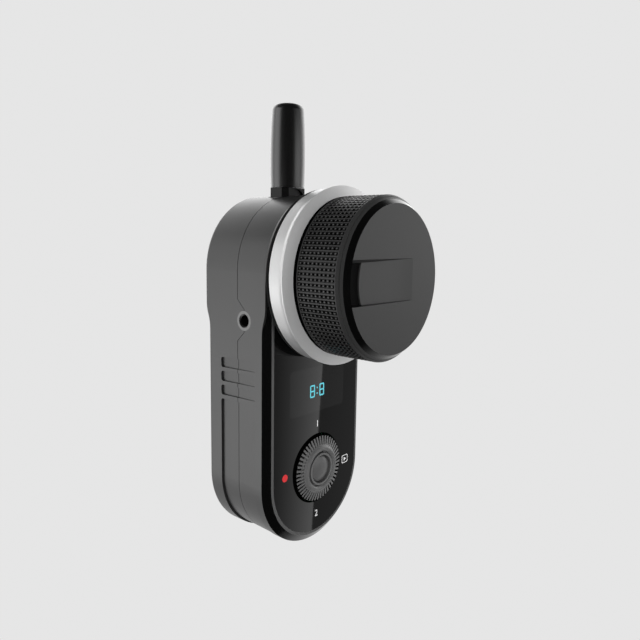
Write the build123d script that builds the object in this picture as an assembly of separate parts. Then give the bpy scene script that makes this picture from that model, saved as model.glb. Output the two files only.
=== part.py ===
from build123d import *
import math
import os

# Hand unit of a wireless lens focus control. Millimetres, +Z up, the wheel faces -Y.
# Pieces are drawn about the wheel's axis (x = 0, z = 0, y = 0 at the wheel's front)
# and moved at the end, so that the origin is on the side thread's axis, where its bore begins.

# Fits
FIT = 0.02                 # seated pieces of one body
RUN = 0.06                 # turning and sliding fits, radial
GLIDE = 0.2                # between faces that slide past each other
AIR = 0.4                  # clear gap between pieces that move apart

# Wheel, along its axis from the front
MARK_BAND_R = 39.8         # marking ring, which sets the wheel's other radii
MARK_STAND = 3.6           # its band above the grip
CAP_INSET = 3.7
CAP_THICK = 2.4
BEVEL_LEN = 2.3
BEVEL_RISE = 1.8
BAND_LEN = 2.3
BAND_GROOVE_R = 0.22
LEDGE_WIDTH = 8.5
GRIP_LEN = 22.4
GRIP_WALL = 4.4
GRIP_RELIEF_LEN = 1.7     # shadow gap behind the knurl
HUB_WEB = 3.5
HUB_WALL = 2.4
HUB_BOSS_R = 9.5
HUB_BOSS_LEN = 25.3
STRIP_TOP = 9.2            # finger strip across the end cap
STRIP_BOTTOM = -9.5
STRIP_END_X = 12.5
STRIP_DEPTH = 1.7
STRIP_END_DEPTH = 0.45
STRIP_RAMP = 8.0           # length of the slope at its right end
STRIP_DRAFT = 0.8          # slope of its upper wall
STRIP_NOTCH = 7.8
MARK_LEN = 10.3
MARK_LIP_RISE = 1.1
MARK_LIP_LEN = 1.75
MARK_LIP_LAND = 0.6
MARK_FLARE_LEN = 2.6
MARK_FACE_DROP = 3.8       # inner edge of its front face, below the band
MARK_GROOVE_WIDTH = 2.0
MARK_GROOVE_DEPTH = 2.0

# Shaft and bearings
SHAFT_R = 5.0
SHOULDER_R = 6.2
BEARING_R = 9.5
BEARING_WIDTH = 5.0
BEARING_SPAN = 16.0        # from one bearing's front to the other's
BALL_R = 1.45
BALL_COUNT = 9
BALL_PLAY = 0.08
RACE_LAND = 0.8
CLIP_THICK = 1.2
CLIP_STAND = 2.2
CLIP_GROOVE = 0.7
MAGNET_R = 2.5
MAGNET_LEN = 2.5
MAGNET_STAND = 0.5
CARRIER_WALL = 3.0
CARRIER_STEP = 2.0         # seats the bearings' outer races
CARRIER_FACE = 2.0         # collar's thickness in front of the carrier and its screws
FLANGE_R = 20.0
FLANGE_THICK = 3.0
CARRIER_BOLT_R = 16.0
SENSOR_GAP = 1.0
SENSOR_SIZE = 4.5
SENSOR_THICK = 1.0
ENCODER_WIDTH = 38.0
ENCODER_HEIGHT = 18.0
POST_R = 2.4

# Casing
HALF_WIDTH = 35.3          # half the width, and the radius of both round ends
HEAD_RISE = 2.0            # centre of the round top, above the wheel's axis
GRIP_DROP = 97.2           # centre of the round bottom, below the wheel's axis
WALL = 2.2
FRONT_WALL = 2.2
BACK_WALL = 2.4
COLLAR_GAP = 2.1
COLLAR_LEN = 4.7
COLLAR_INSET = 0.2         # below the marking ring's band
GUARD_LEN = 5.0            # dust guard, forward into the wheel
GUARD_WALL = 2.0
FRONT_STEP = 2.1           # how far the head stands in front of the grip
BACK_STEP = 2.4            # and behind it
FRONT_DEPTH = 15.9
REAR_DEPTH = 20.6
STEP_TOP = -13.0
STEP_BOTTOM = -26.0
SHOULDER_WALL = 1.2
BACK_ROUND = 2.0
SEAM_WIDTH = 0.3           # groove along the parting line
SEAM_DEPTH = 1.1
GILL_REAR = 11.5           # behind the parting line
GILL_LEN = 23.0
GILL_DEPTH = 1.0
GILL_FRONT_DEPTH = 0.25
GILL_TOP = -38.7
GILL_HEIGHT = 4.8
GILL_PITCH = 6.65
GILL_COUNT = 3
GILL_ROUND = 1.2
GILL_TILT = 2.0            # degrees, front ends up
BOSS_R = 3.2
CASE_TOP_INSET = 4.8944    # screws that join the shells: along the diagonal of the round top
CASE_MID_INSET = 6.8       # and from the casing's side
CASE_LOW_INSET = 15.8
CASE_MID_Z = -38.0
CASE_LOW_DROP = 19.8       # below the centre of the round bottom
CASE_HEAD_SINK = 3.0
HEX_R = 1.25               # socket in each casing screw, across its corners, halved
HEX_DEPTH = 1.0

# Side thread, quarter inch, twenty to the inch
THREAD_BORE_R = 2.6
THREAD_MOUTH_R = 3.2
THREAD_LEN = 9.0
THREAD_Z = -20.1
THREAD_BEHIND = 4.4        # in front of the parting line
INSERT_R = 4.5
INSERT_BOSS = 2.1
INSERT_FLOOR = 1.5
TAB_HALF = 5.2
TAB_SLOPE = 4.4

# Panel
PANEL_PROUD = 0.7          # the glass stands in front of the head's face
GLASS_INSET = 5.0
LIP_WIDTH = 1.3
TOP_BEZEL = 2.0
WINDOW_INSET = 16.4        # from the casing's side to the display
WINDOW_TOP = -44.0
WINDOW_HEIGHT = 22.5
STANDOFF_LEN = 5.5
STANDOFF_R = 2.6
BOARD_THICK = 1.6
BOARD_INSET = 12.3         # from the casing's side to the board's edge
BOARD_TOP = -36.0
BOARD_BOTTOM = -112.0
BOARD_HOLE_EDGE = 3.5
WING_TOP = -66.0
WING_BOTTOM = -94.0
WING_REACH = 6.0
BATTERY_INSET = 12.3       # from the casing's side to the pack
BATTERY_THICK = 20.0
BATTERY_TOP = -50.0
BATTERY_LEN = 58.0
BATTERY_ROUND = 3.0

# Control dial
DIAL_Z = -95.3
WELL_R = 17.5
DIAL_R = 16.2
DIAL_PROUD = 3.6
DIAL_BEVEL_R = 12.5
DIAL_BEVEL_DROP = 2.3
DIAL_SKIRT = 5.0
DIAL_RING_R = 8.6
DIAL_CROWN = 1.2
SLEEVE_R = 8.0
SLEEVE_WALL = 1.0
SLEEVE_SINK = 0.4
ROCKER_R = 13.0
ROCKER_THICK = 1.2
BUTTON_R = 6.0
BUTTON_DOME = 1.3
BUTTON_GUIDE = 2.0         # flange that slides in the sleeve
BUTTON_PROUD = 0.3         # in front of its sleeve
BUTTON_LEN = 5.0
BUTTON_TRAVEL = 0.6
PIVOT_R = 0.8
PIVOT_REACH = 5.0
CROSS_CORE_R = 1.3
EAR_THICK = 1.6
EAR_HALF = 1.4
TILT_ROOM = 0.5            # behind the rocker, for its tilt
DIAL_BASE_R = 9.0
DIAL_BASE_THICK = 1.2

# Antenna
ANTENNA_BEHIND = 2.7       # behind the parting line
SLEEVE_FOOT_R = 8.25
SLEEVE_MID_R = 8.45
SLEEVE_TOP_R = 7.5
SLEEVE_LEN = 39.1
SLEEVE_ROUND = 3.2
FOOT_HEIGHT = 4.6
FOOT_HALF_X = 8.0
FOOT_HALF_Y = 6.1
FOOT_CHAMFER = 2.4
FOOT_ARCH_R = 5.4
FOOT_ARCH_DROP = 1.2
FOOT_ARCH_DEPTH = 1.0
RELIEF_EDGE = 0.8          # where the foot's relief for the fold begins
FOLD_RISE = 5.7            # fold axis above the sleeve's foot
FOLD_HEADING = 45.0        # the way it folds, from +X towards +Y
TONGUE_HALF_X = 3.5
TONGUE_HALF_Y = 2.5
PIN_R = 1.5
PIN_REACH = 6.0
STEM_R = 3.5
STEM_CLIP = 0.6
SOCKET_R = 6.3
SOCKET_LEN = 8.0
SEAT_R = 9.4
SEAT_DEPTH = 2.3           # below the top of the head
SEAT_THICK = 1.2
SOCKET_BOSS_WALL = 2.0
SOCKET_PROUD = 1.0         # below its boss
ELEMENT_R = 1.2
ELEMENT_LEN = 22.0
LEAD_R = 0.9
LEAD_BEND = 4.0
LEAD_DROP = 10.0           # straight run at each end
LEAD_CLEAR = 3.6           # behind the encoder's screws

# Right side
POWER_Z = -73.0
POWER_LEN = 9.0
POWER_WIDTH = 4.0
POWER_PROUD = 0.6
POWER_FLANGE = 0.8
POWER_TRAVEL = 0.5
SWITCH_LEN = 3.6
SWITCH_SIZE = 4.0
PORT_Z = -86.0
PORT_WIDTH = 8.9
PORT_HEIGHT = 3.3
PORT_LEN = 8.0
PORT_WALL = 0.35
PORT_FLOOR = 1.5
PORT_TONGUE = 0.7          # thickness of the contact tongue
PORT_TONGUE_SINK = 1.0

# Screws
SCREW_R = 1.2
SCREW_HEAD_R = 2.2
SCREW_HEAD = 1.6
SMALL_SCREW_R = 0.9
SMALL_HEAD_R = 1.8
SMALL_HEAD = 1.2
HUB_SCREW_R = 2.0
HUB_SCREW_LEN = 11.0
HUB_HEAD_R = 7.0
HUB_HEAD = 2.0
TAP_SPARE = 1.0            # tapped depth past a screw's tip

# Radii that follow the marking ring
RIM_R = MARK_BAND_R - MARK_STAND
CAP_R = RIM_R - CAP_INSET
MARK_LIP_R = MARK_BAND_R + MARK_LIP_RISE
MARK_FACE_R = MARK_BAND_R - MARK_FACE_DROP
MARK_GROOVE_R = MARK_FACE_R - MARK_GROOVE_WIDTH
COLLAR_R = MARK_BAND_R - COLLAR_INSET

# Stations along the wheel's axis
RING_BACK = BEVEL_LEN + BAND_LEN
GRIP_BACK = RING_BACK + GRIP_LEN
MARK_BACK = GRIP_BACK + MARK_LEN
COLLAR_FRONT = MARK_BACK + COLLAR_GAP
HEAD_FRONT = COLLAR_FRONT + COLLAR_LEN
PANEL_FRONT = HEAD_FRONT - PANEL_PROUD
SHELL_FRONT = HEAD_FRONT + FRONT_STEP
CAVITY_FRONT = SHELL_FRONT + FRONT_WALL
PARTING = SHELL_FRONT + FRONT_DEPTH
SHELL_BACK = PARTING + REAR_DEPTH
CAVITY_BACK = SHELL_BACK - BACK_WALL
HEAD_BACK = SHELL_BACK + BACK_STEP
HUB_R = RIM_R - GRIP_WALL
HUB_BACK = RING_BACK + HUB_BOSS_LEN
GUARD_R = HUB_R - HUB_WALL - AIR
BEARING_FRONT = COLLAR_FRONT + CARRIER_FACE
BEARING_REAR = BEARING_FRONT + BEARING_SPAN
BEARING_END = BEARING_REAR + BEARING_WIDTH
CARRIER_R = BEARING_R + CARRIER_WALL
FLANGE_BACK = CAVITY_FRONT + FLANGE_THICK
SHAFT_END = BEARING_END + CLIP_THICK + MAGNET_LEN - MAGNET_STAND
MAGNET_END = SHAFT_END + MAGNET_STAND
SENSOR_FRONT = MAGNET_END + SENSOR_GAP
ENCODER_FRONT = SENSOR_FRONT + SENSOR_THICK
ENCODER_BACK = ENCODER_FRONT + BOARD_THICK
BALL_CENTRE_R = (SHAFT_R + BEARING_R) / 2
BOARD_FRONT = CAVITY_FRONT + STANDOFF_LEN
BOARD_BACK = BOARD_FRONT + BOARD_THICK
THREAD_Y = PARTING - THREAD_BEHIND
INSERT_BOSS_R = INSERT_R + INSERT_BOSS
DIAL_FRONT = PANEL_FRONT - DIAL_PROUD
DIAL_BACK = DIAL_FRONT + DIAL_BEVEL_DROP + DIAL_SKIRT
ROCKER_FRONT = DIAL_BACK + GLIDE
ROCKER_BACK = ROCKER_FRONT + ROCKER_THICK
BUTTON_FRONT = DIAL_FRONT + SLEEVE_SINK - BUTTON_PROUD
BUTTON_BACK = BUTTON_FRONT + BUTTON_LEN
PIVOT_Y = ROCKER_BACK + TILT_ROOM + EAR_HALF
SLEEVE_BORE_R = SLEEVE_R - SLEEVE_WALL
HEAD_TOP = HEAD_RISE + HALF_WIDTH
CASE_TOP_REACH = (HALF_WIDTH - CASE_TOP_INSET) / math.sqrt(2)
CASE_BOSSES = [(CASE_TOP_REACH, HEAD_RISE + CASE_TOP_REACH),
               (HALF_WIDTH - CASE_MID_INSET, CASE_MID_Z),
               (HALF_WIDTH - CASE_LOW_INSET, -GRIP_DROP - CASE_LOW_DROP)]
WINDOW_HALF_WIDTH = HALF_WIDTH - WINDOW_INSET
BOARD_HALF_WIDTH = HALF_WIDTH - BOARD_INSET
BATTERY_HALF_WIDTH = HALF_WIDTH - BATTERY_INSET
ANTENNA_Y = PARTING + ANTENNA_BEHIND
SEAT_Z = HEAD_TOP - SEAT_DEPTH
FOOT_Z = SEAT_Z + SEAT_THICK + GLIDE
SLEEVE_Z = FOOT_Z + FOOT_HEIGHT + GLIDE
FOLD_Z = SLEEVE_Z + FOLD_RISE
SOCKET_Z = SEAT_Z - SOCKET_LEN
SIDE_Y = BOARD_BACK + SWITCH_SIZE / 2
BOARD_HOLES = [(BOARD_HALF_WIDTH - BOARD_HOLE_EDGE, BOARD_TOP - BOARD_HOLE_EDGE),
               (BOARD_HALF_WIDTH - BOARD_HOLE_EDGE, BOARD_BOTTOM + BOARD_HOLE_EDGE)]
THREAD_LEAD = THREAD_MOUTH_R - THREAD_BORE_R
ORIGIN = Vector(-HALF_WIDTH + THREAD_LEAD, THREAD_Y, THREAD_Z)
FAR = 400.0                # longer than anything here, for cutting planes


def block(x, y, z):
    """Box between two values on each axis."""
    size = [high - low for low, high in (x, y, z)]
    middle = [(high + low) / 2 for low, high in (x, y, z)]
    return Pos(*middle) * Box(*size)


def rod(radius, y, x=0.0, z=0.0):
    """Cylinder along Y."""
    return Pos(x, (y[0] + y[1]) / 2, z) * Cylinder(radius, y[1] - y[0], rotation=(90, 0, 0))


def rod_x(radius, x, y, z):
    """Cylinder along X."""
    return Pos((x[0] + x[1]) / 2, y, z) * Cylinder(radius, x[1] - x[0], rotation=(0, 90, 0))


def rod_z(radius, z, x=0.0, y=0.0):
    """Cylinder along Z."""
    return Pos(x, y, (z[0] + z[1]) / 2) * Cylinder(radius, z[1] - z[0])


def prism(sketch, y, taper=0.0):
    """Sketch in X and Z, run along Y from y[1] forward to y[0]."""
    return extrude(Plane.XZ.offset(-y[1]) * sketch, amount=y[1] - y[0], taper=taper)


def turned(points):
    """Ring about the wheel's axis from (radius, y) corners."""
    return revolve(make_face(Polyline(*points, close=True)), Axis.Y)


def stadium(inset=0.0):
    """Casing outline seen from the front."""
    middle = (HEAD_RISE - GRIP_DROP) / 2
    return Pos(0, middle) * SlotCenterToCenter(HEAD_RISE + GRIP_DROP, 2 * (HALF_WIDTH - inset), rotation=90)


def mirrored(points):
    """Points on both sides of the middle plane."""
    return [(side * x, z) for x, z in points for side in (1, -1)]


def screws(places, head, seat, tip, radius, head_radius):
    """Screws along Y at (x, z) places, heads between head and seat, shanks to tip."""
    return [rod(head_radius, sorted((head, seat)), x, z) + rod(radius, sorted((seat, tip)), x, z)
            for x, z in places]


def ring_of(radius, count, start=0.0):
    """Evenly spaced places about the wheel's axis."""
    turns = [math.radians(start + 360 * k / count) for k in range(count)]
    return [(radius * math.cos(t), radius * math.sin(t)) for t in turns]


CARRIER_BOLTS = ring_of(CARRIER_BOLT_R, 4, 45)
RING_BOLT_R = CAP_R - LEDGE_WIDTH / 2
RING_BOLTS = ring_of(RING_BOLT_R, 4, 45)
POSTS = [(CARRIER_BOLT_R, 0), (-CARRIER_BOLT_R, 0)]


def end_cap():
    """Disc with a sloped finger strip, open at the left edge."""
    edge = -CAP_R + STRIP_NOTCH
    floor_top = STRIP_TOP - STRIP_DEPTH * STRIP_DRAFT
    wide_top = STRIP_TOP + CAP_THICK * STRIP_DRAFT
    wedge = make_face(Polyline((-FAR, -CAP_THICK), (-FAR, STRIP_DEPTH), (edge, STRIP_DEPTH),
                               (STRIP_END_X - STRIP_RAMP, STRIP_END_DEPTH), (STRIP_END_X, 0),
                               (STRIP_END_X, -CAP_THICK), close=True))
    trough = make_face(Polyline((-CAP_THICK, STRIP_BOTTOM), (STRIP_DEPTH, STRIP_BOTTOM),
                                (STRIP_DEPTH, floor_top), (-CAP_THICK, wide_top), close=True))
    strip = extrude(wedge, amount=FAR, both=True) & extrude(Plane.YZ * trough, amount=FAR, both=True)
    notch = block((-FAR, 0), (-FAR, FAR), (STRIP_BOTTOM, floor_top)) - rod(-edge, (-FAR, FAR))
    return rod(CAP_R, (0, CAP_THICK)) - strip - notch


def end_ring():
    inner = CAP_R - LEDGE_WIDTH
    seat = CAP_R + FIT
    bevel_r = CAP_R + BEVEL_RISE
    ring = turned([(seat, 0), (bevel_r, BEVEL_LEN), (RIM_R, RING_BACK), (inner, RING_BACK),
                   (inner, CAP_THICK), (seat, CAP_THICK)])
    middle = Pos(0, (BEVEL_LEN + RING_BACK) / 2, 0)
    ring -= middle * Torus((bevel_r + RIM_R) / 2, BAND_GROOVE_R, rotation=(90, 0, 0))
    for x, z in RING_BOLTS:
        ring -= rod(SCREW_R + FIT, (0, RING_BACK), x, z)
        ring -= rod(SCREW_HEAD_R + FIT, (0, CAP_THICK + SCREW_HEAD), x, z)
    return ring


def ring_screws():
    return screws(RING_BOLTS, CAP_THICK, CAP_THICK + SCREW_HEAD, RING_BACK + HUB_WEB, SCREW_R, SCREW_HEAD_R)


def grip_sleeve():
    relief = GRIP_BACK - GRIP_RELIEF_LEN
    sleeve = rod(RIM_R, (RING_BACK, relief)) + rod(MARK_GROOVE_R, (relief, GRIP_BACK))
    return sleeve - rod(HUB_R + FIT, (RING_BACK, GRIP_BACK))


def marking_ring():
    lip_back = GRIP_BACK + MARK_LIP_LEN + MARK_LIP_LAND
    flare_back = lip_back + MARK_FLARE_LEN
    groove = GRIP_BACK + MARK_GROOVE_DEPTH
    bore = HUB_R + FIT
    front = Polyline((MARK_BAND_R, MARK_BACK), (bore, MARK_BACK), (bore, GRIP_BACK),
                     (MARK_GROOVE_R, GRIP_BACK), (MARK_GROOVE_R, groove), (MARK_FACE_R, groove),
                     (MARK_FACE_R, GRIP_BACK), (MARK_LIP_R, GRIP_BACK + MARK_LIP_LEN), (MARK_LIP_R, lip_back))
    flare = TangentArc((MARK_BAND_R, flare_back), (MARK_LIP_R, lip_back), tangent=(0, -1))
    back = Line((MARK_BAND_R, flare_back), (MARK_BAND_R, MARK_BACK))
    return revolve(make_face(front + flare + back), Axis.Y)


def wheel_hub():
    web_back = RING_BACK + HUB_WEB
    drum = HUB_R - HUB_WALL
    bore = SHAFT_R + FIT
    hub = turned([(bore, RING_BACK), (HUB_R, RING_BACK), (HUB_R, MARK_BACK), (drum, MARK_BACK),
                  (drum, web_back), (HUB_BOSS_R, web_back), (HUB_BOSS_R, HUB_BACK), (bore, HUB_BACK)])
    for x, z in RING_BOLTS:
        hub -= rod(SCREW_R + FIT, (RING_BACK, web_back), x, z)
    return hub


def hub_screw():
    tip = RING_BACK + HUB_SCREW_LEN
    return screws([(0, 0)], RING_BACK - HUB_HEAD, RING_BACK, tip, HUB_SCREW_R, HUB_HEAD_R)[0]


def wheel_shaft():
    shaft = rod(SHAFT_R, (RING_BACK, SHAFT_END)) + rod(SHOULDER_R, (HUB_BACK, BEARING_FRONT))
    shaft -= rod(HUB_SCREW_R + FIT, (RING_BACK, RING_BACK + HUB_SCREW_LEN + TAP_SPARE))
    groove = (BEARING_END, BEARING_END + CLIP_THICK)
    shaft -= rod(SHAFT_R, groove) - rod(SHAFT_R - CLIP_GROOVE, groove)
    return shaft - rod(MAGNET_R + FIT, (MAGNET_END - MAGNET_LEN, SHAFT_END))


def shaft_clip():
    clip = (BEARING_END, BEARING_END + CLIP_THICK)
    inner = SHAFT_R - CLIP_GROOVE + FIT
    return rod(SHAFT_R + CLIP_STAND, clip) - rod(inner, clip) - block((-inner, inner), clip, (0, FAR))


def encoder_magnet():
    return rod(MAGNET_R, (MAGNET_END - MAGNET_LEN, MAGNET_END))


def ball_groove(front):
    """Track that the balls of a bearing run in."""
    middle = front + BEARING_WIDTH / 2
    return Pos(0, middle, 0) * Torus(BALL_CENTRE_R, BALL_R + BALL_PLAY, rotation=(90, 0, 0))


def outer_race(front):
    span = (front, front + BEARING_WIDTH)
    return rod(BEARING_R - FIT, span) - rod(BALL_CENTRE_R + RACE_LAND, span) - ball_groove(front)


def inner_race(front):
    span = (front, front + BEARING_WIDTH)
    return rod(BALL_CENTRE_R - RACE_LAND, span) - rod(SHAFT_R + FIT, span) - ball_groove(front)


def balls(front):
    middle = front + BEARING_WIDTH / 2
    return [Pos(x, middle, z) * Sphere(BALL_R) for x, z in ring_of(BALL_CENTRE_R, BALL_COUNT)]


def bearing_carrier():
    carrier = rod(CARRIER_R, (BEARING_FRONT, BEARING_END)) + rod(FLANGE_R, (CAVITY_FRONT, FLANGE_BACK))
    for x, z in POSTS:
        carrier += rod(POST_R, (FLANGE_BACK, ENCODER_FRONT), x, z)
    carrier -= rod(BEARING_R - CARRIER_STEP, (BEARING_FRONT, BEARING_END))
    for front in (BEARING_FRONT, BEARING_REAR):
        carrier -= rod(BEARING_R, (front, front + BEARING_WIDTH))
    for x, z in CARRIER_BOLTS:
        carrier -= rod(SCREW_R + FIT, (CAVITY_FRONT, FLANGE_BACK), x, z)
    for x, z in POSTS:
        carrier -= rod(SMALL_SCREW_R + FIT, (FLANGE_BACK, ENCODER_FRONT), x, z)
    return carrier


def damping_sleeve():
    span = (BEARING_FRONT + BEARING_WIDTH + AIR, BEARING_REAR - AIR)
    return rod(BEARING_R - CARRIER_STEP - FIT, span) - rod(SHAFT_R + RUN, span)


def carrier_screws():
    return screws(CARRIER_BOLTS, FLANGE_BACK + SCREW_HEAD, FLANGE_BACK, BEARING_FRONT, SCREW_R, SCREW_HEAD_R)


def encoder_board():
    board = block((-ENCODER_WIDTH / 2, ENCODER_WIDTH / 2), (ENCODER_FRONT, ENCODER_BACK),
                  (-ENCODER_HEIGHT / 2, ENCODER_HEIGHT / 2))
    half = SENSOR_SIZE / 2
    board += block((-half, half), (SENSOR_FRONT, ENCODER_FRONT), (-half, half))
    for x, z in POSTS:
        board -= rod(SMALL_SCREW_R + FIT, (ENCODER_FRONT, ENCODER_BACK), x, z)
    return board


def encoder_screws():
    tip = FLANGE_BACK + TAP_SPARE
    return screws(POSTS, ENCODER_BACK + SMALL_HEAD, ENCODER_BACK, tip, SMALL_SCREW_R, SMALL_HEAD_R)


def side_step(near, far, top, bottom):
    """Region of the Y-Z plane above a smooth step from depth near to depth far, run across the casing."""
    middle = ((near + far) / 2, (top + bottom) / 2)
    upper = TangentArc((near, top), middle, tangent=(0, -1))
    lower = TangentArc((far, bottom), middle, tangent=(0, 1))
    edge = Polyline((near, top), (near, FAR), (far, FAR), (far, bottom))
    return extrude(Plane.YZ * make_face(upper + lower + edge), amount=FAR / 2, both=True)


def head_disc(extra=0.0):
    return Pos(0, HEAD_RISE) * Circle(HALF_WIDTH + extra)


def head_front():
    """What the head adds in front of the grip: its round face, its sides and two thin shoulders."""
    span = (HEAD_FRONT, SHELL_FRONT)
    above = block((-FAR, FAR), span, (STEP_TOP, FAR))
    rim = prism(stadium() - stadium(SHOULDER_WALL), span)
    shoulders = rim & side_step(HEAD_FRONT, SHELL_FRONT, STEP_TOP, STEP_BOTTOM)
    return prism(head_disc(), span) + (prism(stadium(), span) & above) + shoulders


def gill_cuts():
    """Recesses in the sides, deepest at their rear ends, and one long one round the bottom."""
    rear = PARTING + GILL_REAR
    span = (rear - GILL_LEN, rear)
    slope = math.degrees(math.atan((GILL_DEPTH - GILL_FRONT_DEPTH) / GILL_LEN))
    skin = prism(stadium(-WALL), span) - prism(stadium(GILL_DEPTH), span, -slope)
    cuts = Part()
    for k in range(GILL_COUNT):
        top = GILL_TOP - k * GILL_PITCH
        slot = block((-FAR, FAR), (rear - 2 * GILL_LEN, rear), (top - GILL_HEIGHT, top))
        slot = fillet(slot.edges().filter_by(Axis.X).group_by(Axis.Y)[-1], GILL_ROUND)
        cuts += skin & Pos(0, rear, top) * Rot(-GILL_TILT, 0, 0) * Pos(0, -rear, -top) * slot
    low = block((-FAR, FAR), span, (-FAR, GILL_TOP - GILL_COUNT * GILL_PITCH))
    corner = low.edges().filter_by(Axis.X).group_by(Axis.Y)[-1].sort_by(Axis.Z)[-1]
    return cuts + (skin & fillet(corner, GILL_ROUND))


def casing():
    """Both shells as one hollow body, before it is parted."""
    outer = prism(stadium(), (SHELL_FRONT, SHELL_BACK))
    head_back = prism(stadium(), (SHELL_BACK, HEAD_BACK))
    outer += head_back & side_step(HEAD_BACK, SHELL_BACK, STEP_TOP, STEP_BOTTOM)
    outer = fillet(outer.edges().group_by(Axis.Y)[-1], BACK_ROUND)
    outer += head_front()
    solid = outer - prism(stadium(WALL), (CAVITY_FRONT, CAVITY_BACK))
    inside = prism(stadium(), (SHELL_FRONT, SHELL_BACK))
    for x, z in mirrored(CASE_BOSSES):
        solid += rod(BOSS_R, (SHELL_FRONT, SHELL_BACK), x, z)
    solid += rod_x(INSERT_BOSS_R, (-HALF_WIDTH, -HALF_WIDTH + THREAD_LEN + INSERT_FLOOR), THREAD_Y, THREAD_Z)
    solid += rod_z(SOCKET_R + SOCKET_BOSS_WALL, (SOCKET_Z + SOCKET_PROUD, HEAD_TOP), 0, ANTENNA_Y) & inside
    solid -= rod_x(INSERT_R + FIT, (-FAR, -HALF_WIDTH + THREAD_LEN), THREAD_Y, THREAD_Z)
    solid -= rod_z(SOCKET_R + FIT, (SOCKET_Z, HEAD_TOP), 0, ANTENNA_Y)
    solid -= rod_z(SEAT_R, (SEAT_Z, FAR), 0, ANTENNA_Y)
    for x, z in mirrored(CASE_BOSSES):
        solid -= rod(SCREW_R + FIT, (CAVITY_FRONT, HEAD_BACK), x, z)
        solid -= rod(SCREW_HEAD_R + AIR, (SHELL_BACK - CASE_HEAD_SINK, FAR), x, z)
    return solid - gill_cuts()


def rear_region():
    """Everything behind the parting line, with the tab that runs forward to the side thread."""
    behind = block((-FAR, FAR), (PARTING, FAR), (-FAR, FAR))
    half = TAB_HALF
    tab = make_face(Polyline((PARTING, THREAD_Z + half + TAB_SLOPE), (THREAD_Y, THREAD_Z + half),
                             (THREAD_Y, THREAD_Z - half), (PARTING, THREAD_Z - half - TAB_SLOPE), close=True))
    return behind + Pos(-FAR, 0, 0) * extrude(Plane.YZ * tab, amount=FAR)


def rear_shell(body):
    return body & rear_region()


def seam():
    """Shallow groove in the outer skin, just in front of the parting line."""
    groove = Pos(0, -SEAM_WIDTH, 0) * rear_region() - rear_region()
    return groove - prism(stadium(SEAM_DEPTH), (SHELL_FRONT, SHELL_BACK))


def front_shell(body):
    shell = body - rear_region() - seam()
    for x, z in mirrored(BOARD_HOLES):
        shell += rod(STANDOFF_R, (CAVITY_FRONT, BOARD_FRONT), x, z)
        shell -= rod(SMALL_SCREW_R + FIT, (CAVITY_FRONT, BOARD_FRONT), x, z)
    shell -= rod(CARRIER_R + FIT, (HEAD_FRONT, CAVITY_FRONT))
    for x, z in CARRIER_BOLTS:
        shell -= rod(SCREW_R + FIT, (HEAD_FRONT, CAVITY_FRONT), x, z)
    shell -= window((SHELL_FRONT, CAVITY_FRONT), AIR)
    shell -= rod(WELL_R, (SHELL_FRONT, CAVITY_FRONT), 0, DIAL_Z)
    outward = (HALF_WIDTH - WALL, FAR)
    shell -= pill_x(POWER_LEN / 2 + RUN, POWER_WIDTH / 2 + RUN, outward, SIDE_Y, POWER_Z)
    return shell - pill_x(PORT_WIDTH / 2 + FIT, PORT_HEIGHT / 2 + FIT, outward, SIDE_Y, PORT_Z)


def pill_x(half_z, half_y, x, y, z):
    """Rounded bar along X."""
    shape = SlotOverall(2 * half_z, 2 * half_y, rotation=90)
    return extrude(Plane(origin=(x[0], y, z), x_dir=(0, 1, 0), z_dir=(1, 0, 0)) * shape, amount=x[1] - x[0])


def window(y, extra=0.0):
    return block((-WINDOW_HALF_WIDTH - extra, WINDOW_HALF_WIDTH + extra), y,
                 (WINDOW_TOP - WINDOW_HEIGHT - extra, WINDOW_TOP + extra))


def collar():
    """Flares from the head's round face to a circle, with a dust guard that reaches into the wheel."""
    face = Plane.XZ.offset(-HEAD_FRONT) * head_disc()
    rim = Plane.XZ.offset(-COLLAR_FRONT) * Circle(COLLAR_R)
    flare = loft([face, rim], ruled=True) - rod(CARRIER_R + FIT, (COLLAR_FRONT, HEAD_FRONT))
    for x, z in CARRIER_BOLTS:
        flare -= rod(SCREW_R + FIT, (BEARING_FRONT, HEAD_FRONT), x, z)
    guard = (COLLAR_FRONT - GUARD_LEN, COLLAR_FRONT)
    return flare + rod(GUARD_R, guard) - rod(GUARD_R - GUARD_WALL, guard)


def panel_opening(extra=0.0):
    """Glass outline: inside the casing's outline, below the head."""
    return stadium(GLASS_INSET - extra) - head_disc(TOP_BEZEL - extra)


def panel_bezel():
    slope = math.degrees(math.atan((GLASS_INSET - LIP_WIDTH) / (SHELL_FRONT - PANEL_FRONT)))
    span = (PANEL_FRONT, SHELL_FRONT)
    frame = prism(stadium(), span, slope) - prism(panel_opening(), span)
    clear = prism(head_disc(AIR + PANEL_PROUD), span)
    frame -= clear + block((-FAR, FAR), span, (STEP_TOP, FAR))
    return frame - head_front()


def display_glass():
    span = (PANEL_FRONT, SHELL_FRONT)
    return prism(panel_opening(-FIT), span) - rod(WELL_R, span, 0, DIAL_Z)


def display_module():
    return window((SHELL_FRONT, BOARD_FRONT))


def main_board():
    half = BOARD_HALF_WIDTH
    board = block((-half, half), (BOARD_FRONT, BOARD_BACK), (BOARD_BOTTOM, BOARD_TOP))
    board += block((half, half + WING_REACH), (BOARD_FRONT, BOARD_BACK), (WING_BOTTOM, WING_TOP))
    for x, z in mirrored(BOARD_HOLES):
        board -= rod(SMALL_SCREW_R + FIT, (BOARD_FRONT, BOARD_BACK), x, z)
    return board


def board_screws():
    places = mirrored(BOARD_HOLES)
    return screws(places, BOARD_BACK + SMALL_HEAD, BOARD_BACK, CAVITY_FRONT, SMALL_SCREW_R, SMALL_HEAD_R)


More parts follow.
